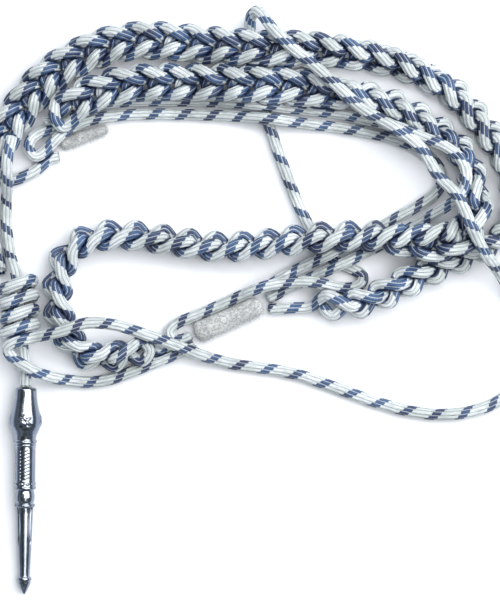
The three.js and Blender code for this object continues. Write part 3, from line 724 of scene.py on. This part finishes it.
def cord_material(name, tracer_share):
    """Silver-white ribs with a left-hand spiral of blue dashes, one to a rib, and painted shade in
    valleys and crevices.
    """
    n = Nodes(name)
    around, phase, _ = n.parts(n.new("UVMap", uv_map="Run").outputs[0])
    ribs = n.times(around, RIBS)
    across = n.math("SUBTRACT", n.math("FRACT", ribs), 0.5)
    edge = n.math("ABSOLUTE", across)
    patches = n.noise(n.spot(), 60.0, 3.0, 0.6)

    # fine threads: long grain along each rib, and the small steps of the braiding
    run = n.vector(n.times(around, GRAIN_ROUND), n.times(phase, GRAIN_ALONG))
    grain = n.noise(run, 1.0, 3.0, 0.6)
    wraps = n.math("SINE", n.plus(n.times(phase, 2 * math.pi * WRAPS),
                                  n.times(across, WRAP_SLANT)))

    silver = n.mix(n.step(patches, 0.35, 0.65), *SILVER)
    threads = n.mix(0.62, silver, SILVER_THREADS)
    silver = n.mix(n.step(grain, 0.36, 0.56), threads, silver)
    stitches = n.times(n.step(wraps, 0.1, 0.8), n.step(edge, 0.3, 0.46))
    silver = n.mix(n.times(stitches, 0.55), silver, SILVER_STITCHES)
    blue = n.mix(n.step(patches, 0.38, 0.62), *BLUE)
    blue = n.mix(n.step(grain, 0.34, 0.6), BLUE_THREADS, blue)
    zone = dash_zone(n, phase, ribs, across, grain, tracer_share)
    dash = n.times(zone, n.step(edge, 0.38, 0.46, 1.0, 0.15))
    painted = n.mix(dash, silver, blue)

    # painted shade: valleys between ribs are darker, less so inside a dash, and crevices darker
    # still
    valley_shade = n.times(n.step(edge, 0.24, 0.5), n.step(zone, 0.2, 0.8, 1.0, 0.25))
    shaded = n.mix(n.times(valley_shade, 0.46), painted, n.tinted(painted, VALLEY_SHADE_TINT))
    # painted crevice shade, read from the point attribute
    crevice_shade = n.step(n.new("Attribute", attribute_name="crevice_shade").outputs["Fac"], 0.64, 0.98)
    shaded = n.mix(crevice_shade, shaded, n.tinted(shaded, CREVICE_SHADE_TINT))
    n.put(shaded, n.shader.inputs["Base Color"])
    n.shader.inputs["Roughness"].default_value = 0.42
    n.bump(n.plus(grain, n.times(wraps, 0.16)), 0.0002, 0.8)
    return n.material


def felt_material():
    n = Nodes("felt")
    spots = n.noise(n.spot(), 1500.0, 3.0, 0.7)
    patches = n.noise(n.spot(), 160.0, 3.0, 0.6)
    base = n.mix(n.step(patches, 0.35, 0.65), *FELT)
    base = n.mix(n.step(spots, 0.42, 0.56), n.mix(0.75, base, FELT_THREADS), base)
    n.put(base, n.shader.inputs["Base Color"])
    n.shader.inputs["Roughness"].default_value = 0.95
    n.shader.inputs["Sheen Weight"].default_value = 0.5
    n.bump(spots, 0.0004, 0.8)
    return n.material


def metal_material():
    """Polished metal with painted reflections: a dark band where its sides turn from facing up, and
    paler further down.
    """
    n = Nodes("metal")
    wear = n.noise(n.spot(), 700.0, 4.0, 0.65)
    patches = n.noise(n.spot(), 110.0, 3.0, 0.5)
    base = n.mix(n.step(patches, 0.35, 0.7), *METAL)
    facing_up = n.parts(n.new("TexCoord").outputs["Normal"])[2]
    # painted reflections of a room that is not modelled, set by which way the surface faces
    flank_reflection_mask = n.step(facing_up, 0.82, 0.9, 1.0, 0.0)
    rim = n.step(facing_up, 0.6, 0.74, 1.0, 0.0)
    dark_reflection, pale_reflection = n.tinted(base, FLANK_REFLECTION_TINT), n.tinted(base, RIM_REFLECTION_TINT)
    base = n.mix(rim, n.mix(flank_reflection_mask, base, dark_reflection), pale_reflection)
    n.put(base, n.shader.inputs["Base Color"])
    n.shader.inputs["Metallic"].default_value = 1.0
    n.put(n.step(wear, 0.3, 0.8, 0.14, 0.3), n.shader.inputs["Roughness"])
    n.bump(wear, 0.00004, 0.35)
    return n.material


def floor_material():
    n = Nodes("floor")
    patches = n.noise(n.spot(), 5.0, 2.0, 0.5)
    n.put(n.mix(patches, *FLOOR_TONES), n.shader.inputs["Base Color"])
    n.shader.inputs["Roughness"].default_value = 0.7
    return n.material


# Camera

def add_camera():
    camera = bpy.data.cameras.new("camera")
    camera.sensor_fit = "VERTICAL"
    camera.sensor_height = SENSOR
    view_height = PHOTO[1] / PIXELS_IN_SQUARE * SQUARE
    camera.lens = SENSOR * (CAMERA_HEIGHT - FOCUS_HEIGHT) / view_height
    camera.clip_start = 0.01
    made = bpy.data.objects.new("camera", camera)
    bpy.context.scene.collection.objects.link(made)
    middle = place([pixels / 2 / PIXELS_IN_SQUARE for pixels in PHOTO])
    made.location = (middle[0], middle[1], CAMERA_HEIGHT)
    bpy.context.scene.camera = made


# Felt sleeves

def superellipse(angle, width, height, power):
    x, y = math.cos(angle), math.sin(angle)
    return (math.copysign(abs(x) ** power, x) * width / 2,
            math.copysign(abs(y) ** power, y) * height / 2)


def felt_sleeve(name, ends, length, widths, height, seed):
    """A flattened roll of felt with soft ends, a little lumpy and covered with fibres."""
    start, end = (place(row) for row in ends)
    middle, ahead = (start + end) / 2, unit(end - start)
    side = np.array([-ahead[1], ahead[0], 0])
    around = np.arange(SLEEVE_SIDES + 1) / SLEEVE_SIDES
    along = np.arange(SLEEVE_RINGS + 1) / SLEEVE_RINGS
    points = []
    for share in along:
        at = (share - 0.5) * length
        round_off = (1 - abs(2 * share - 1) ** SLEEVE_END_POWER) ** 0.5
        full = SLEEVE_END_HEIGHT + (1 - SLEEVE_END_HEIGHT) * round_off if round_off else 0
        width = widths[0] + (widths[1] - widths[0]) * share
        for turn in around:
            x, z = superellipse(2 * math.pi * turn, width, height, SLEEVE_POWER)
            point = middle + ahead * at + side * x * round_off
            point[2] = height / 2 + z * full
            out = unit(np.array([*(side * x)[:2], z]) + 1e-9)
            point += out * sum(noise.noise(Vector(point * scale)) * size for scale, size in LUMPS)
            point[2] = max(point[2], FLOOR_GAP)
            points.append(point)
    made = grid_object(name, np.array(points), np.tile(around, len(along)),
                       np.repeat(along, len(around)), len(around))
    fuzz(made, seed, round(length / FIBRE_SPACING))
    return made


def fibre_points(root, lean, bend, length, wide, deep):
    """Three ever smaller triangles, from a fibre's root to its tip."""
    points = []
    for share in (0.0, 0.5, 1.0):
        at = root + (lean + bend * share) * length * share
        at[2] = max(at[2], FLOOR_GAP)
        thin = 1 - FIBRE_TAPER * share
        points += [at + wide * thin, at - wide * thin * 0.5 + deep * thin,
                   at - wide * thin * 0.5 - deep * thin]
    return points


def fuzz(felt, seed, count):
    """Short thin fibres standing off the felt, joined to its mesh."""
    rng = np.random.default_rng(seed)
    centres = np.array([face.center for face in felt.data.polygons])
    normals = np.array([face.normal for face in felt.data.polygons])
    points, faces = [], []
    for face in rng.integers(0, len(centres), count):
        root = centres[face] + rng.normal(0, FIBRE_SCATTER, 3)
        lean = unit(normals[face] + rng.normal(0, FIBRE_LEAN, 3))
        bend = rng.normal(0, FIBRE_BEND, 3)
        length = rng.uniform(*FIBRE_LENGTHS)
        wide = unit(np.cross(lean, rng.normal(0, 1, 3))) * FIBRE_HALF_WIDTH
        deep = unit(np.cross(lean, wide)) * FIBRE_HALF_WIDTH
        for low in (len(points), len(points) + 3):
            for k, m in ((0, 1), (1, 2), (2, 0)):
                faces.append((low + k, low + m, low + 3 + m, low + 3 + k))
        points += fibre_points(root, lean, bend, length, wide, deep)
    mesh = bpy.data.meshes.new("hairs")
    mesh.from_pydata([list(point) for point in points], [], faces)
    hairs = bpy.data.objects.new("hairs", mesh)
    bpy.context.scene.collection.objects.link(hairs)
    with bpy.context.temp_override(active_object=felt, selected_editable_objects=[felt, hairs]):
        bpy.ops.object.join()


# The metal tag: each part of its relief stands off the plain outline, in millimetres

def mound(values):
    """1 where the values are 0, falling to 0 where they reach 1 or -1."""
    return np.clip(1 - values ** 2, 0, 1)


def rosette(along, quarter):
    """A plain flower on four sides of the bulb, with a hollow eye."""
    x = (along - ROSETTE_AT) * TAG_LENGTH / MM / ROSETTE_RADIUS
    y = quarter / ROSETTE_ANGLE
    radius, turn = np.hypot(x, y), np.arctan2(y, x)
    edge = 1 - PETAL_NOTCH + PETAL_NOTCH * np.cos(PETALS * turn)
    petals = np.clip(1 - (radius / edge) ** 4, 0, 1) * np.clip(1.25 - radius, 0, 1)
    return PETAL_HEIGHT * petals - EYE_DEPTH * mound(radius / EYE_RADIUS)


def cut_panel(along, quarter):
    """Slanting cuts in a long panel with a raised rim, on four sides of the barrel."""
    inside = (np.abs(quarter) < PANEL_ANGLE) & (along > PANEL_FROM) & (along < PANEL_TO)
    cuts = np.sin((along * TAG_LENGTH / MM / CUT_SPACING + quarter * CUT_SLANT) * 2 * np.pi)
    beside = np.abs(np.abs(quarter) - RIM_ANGLE) < RIM_HALF_ANGLE
    rim = beside & (along > RIM_FROM) & (along < RIM_TO)
    return RIM_HEIGHT * rim - CUT_DEPTH * inside * np.clip(cuts, 0, 1)


def bead_ring(along, up):
    """Beads round the foot of the barrel, each a little over half as wide as their spacing."""
    x = (along - BEAD_AT) * TAG_LENGTH / MM / BEAD_RADIUS
    y = (up / (2 * np.pi) * BEADS % 1 - 0.5) * 2 / BEAD_SHARE
    return BEAD_HEIGHT * np.clip(1 - x**2 - y**2 * BEAD_WIDENING, 0, 1) ** 0.5


def leaf(along, third, half_length, half_angle):
    """1 in the middle of a leaf-shaped patch and 0 outside it."""
    lengthwise = mound((along - LEAF_AT) / half_length)
    return mound(third / (half_angle * np.maximum(lengthwise, 1e-3))) * (lengthwise > 0)


def tag_relief(along, angle):
    """The whole engraving. Its patterns come four or three times round the tag."""
    up = (angle + np.pi) % (2 * np.pi) - np.pi
    quarter = (up + np.pi / 4) % (np.pi / 2) - np.pi / 4
    third = up % (2 * np.pi / 3) - np.pi / 3
    return (rosette(along, quarter) + cut_panel(along, quarter) + bead_ring(along, up)
            - LEAF_DEPTH * leaf(along, third, LEAF_LENGTH, LEAF_ANGLE)
            + VEIN_HEIGHT * leaf(along, third, VEIN_LENGTH, VEIN_ANGLE))


def turned(a, b, angle):
    """Two coordinates of the same points, turned by an angle."""
    return a * math.cos(angle) - b * math.sin(angle), a * math.sin(angle) + b * math.cos(angle)


def metal_tag():
    """A turned needle that lies on its bulb and on the ring near its point."""
    rows = np.array(TAG_ROWS)
    outline = distances(np.c_[rows[:, 0] * TAG_LENGTH / MM, rows[:, 1] / 2])
    at = np.linspace(0, outline[-1], TAG_RINGS)
    widths = np.interp(at, outline, rows[:, 1])[:, None]
    angles = np.linspace(0, 2 * np.pi, TAG_SIDES + 1)
    along, angle = np.meshgrid(np.interp(at, outline, rows[:, 0]), angles, indexing="ij")
    radius = (widths / 2 + tag_relief(along, angle) * (widths > ENGRAVED_FROM)) * MM

    apart = (TAG_TIP_RING_AT - TAG_BULB_AT) * TAG_LENGTH
    slope = math.asin((TAG_BULB - TAG_TIP_RING) / 2 / apart)
    lift = TAG_BULB / 2 / math.cos(slope) + TAG_BULB_AT * TAG_LENGTH * math.sin(slope)
    top, point = place(TAG_TOP), place(TAG_POINT)
    heading = math.atan2(point[1] - top[1], point[0] - top[0]) + math.pi / 2
    y, z = turned(-along * TAG_LENGTH, radius * np.cos(angle), slope)
    x, y = turned(radius * np.sin(angle), y, heading)
    z = np.maximum(z + lift, FLOOR_GAP)
    points = np.stack([x + top[0], y + top[1], z], -1).reshape(-1, 3)
    return grid_object("tag_dressed", points, angle.ravel() / (2 * np.pi), along.ravel(),
                       len(angles))


# Floor and light

def add_floor():
    mesh = bpy.data.meshes.new("floor")
    sides = ((-1, -1), (1, -1), (1, 1), (-1, 1))
    mesh.from_pydata([(x * FLOOR_HALF, y * FLOOR_HALF, 0) for x, y in sides], [],
                     [(0, 1, 2, 3)])
    mesh.materials.append(floor_material())
    floor = bpy.data.objects.new("floor", mesh)
    bpy.context.scene.collection.objects.link(floor)


def area_light(name, spot, size, power, tint):
    light = bpy.data.lights.new(name, "AREA")
    light.shape = "RECTANGLE"
    light.size, light.size_y = size
    light.energy = power
    light.color = tint
    made = bpy.data.objects.new(name, light)
    made.location = spot
    made.rotation_euler = (-Vector(spot)).to_track_quat("-Z", "Y").to_euler()
    bpy.context.scene.collection.objects.link(made)


def add_light():
    """A big soft light from the right, and a sky that is dark overhead and pale low down."""
    world = bpy.data.worlds.new("world")
    world.use_nodes = True
    tree = world.node_tree
    toward = tree.nodes.new("ShaderNodeTexCoord")
    parts = tree.nodes.new("ShaderNodeSeparateXYZ")
    ramp = tree.nodes.new("ShaderNodeValToRGB")
    tree.links.new(toward.outputs["Generated"], parts.inputs[0])
    tree.links.new(parts.outputs[2], ramp.inputs[0])
    elements = ramp.color_ramp.elements
    while len(elements) < len(SKY_STOPS):
        elements.new(0.5)
    for element, (height, level) in zip(elements, SKY_STOPS):
        element.position = height
        element.color = (*(level * share for share in SKY_TINT), 1)
    background = tree.nodes["Background"]
    tree.links.new(ramp.outputs[0], background.inputs[0])
    background.inputs[1].default_value = SKY_STRENGTH
    bpy.context.scene.world = world
    for lamp in LAMPS:
        area_light(*lamp)


# Pieces, each in the place of its node

def add_strands():
    """Every cord, knot and braid, pressed together and then given its mesh."""
    for name, route, _ in CORDS:
        plain_cord(name, route)
    barrel_knot()
    chain_braid("braid_outer", OUTER_TAIL, OUTER_BRAID, OUTER_FOLD, OUTER_END)
    chain_braid("braid_inner", INNER_TAIL, INNER_BRAID, INNER_FOLD, INNER_END)
    press()
    cord_look = cord_material("cord", TRACER_SHARE)
    braid_look = cord_material("braid", BRAID_TRACER_SHARE)
    for made in strands:
        name = made["name"]
        piece = strand_mesh(made)
        piece.data.materials.append(braid_look if name.startswith("braid") else cord_look)
        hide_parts(name)
        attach(piece, "root")


def add_sleeves():
    felt_look = felt_material()
    for name, *shape in SLEEVES:
        piece = felt_sleeve(name + "_dressed", *shape)
        piece.data.materials.clear()
        piece.data.materials.append(felt_look)
        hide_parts(name)
        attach(piece, "root")


def add_tag():
    piece = metal_tag()
    piece.data.materials.append(metal_material())
    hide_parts("tag")
    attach(piece, "root")


add_camera()
add_strands()
add_sleeves()
add_tag()
add_floor()
add_light()
bpy.context.scene.view_settings.view_transform = "Standard"
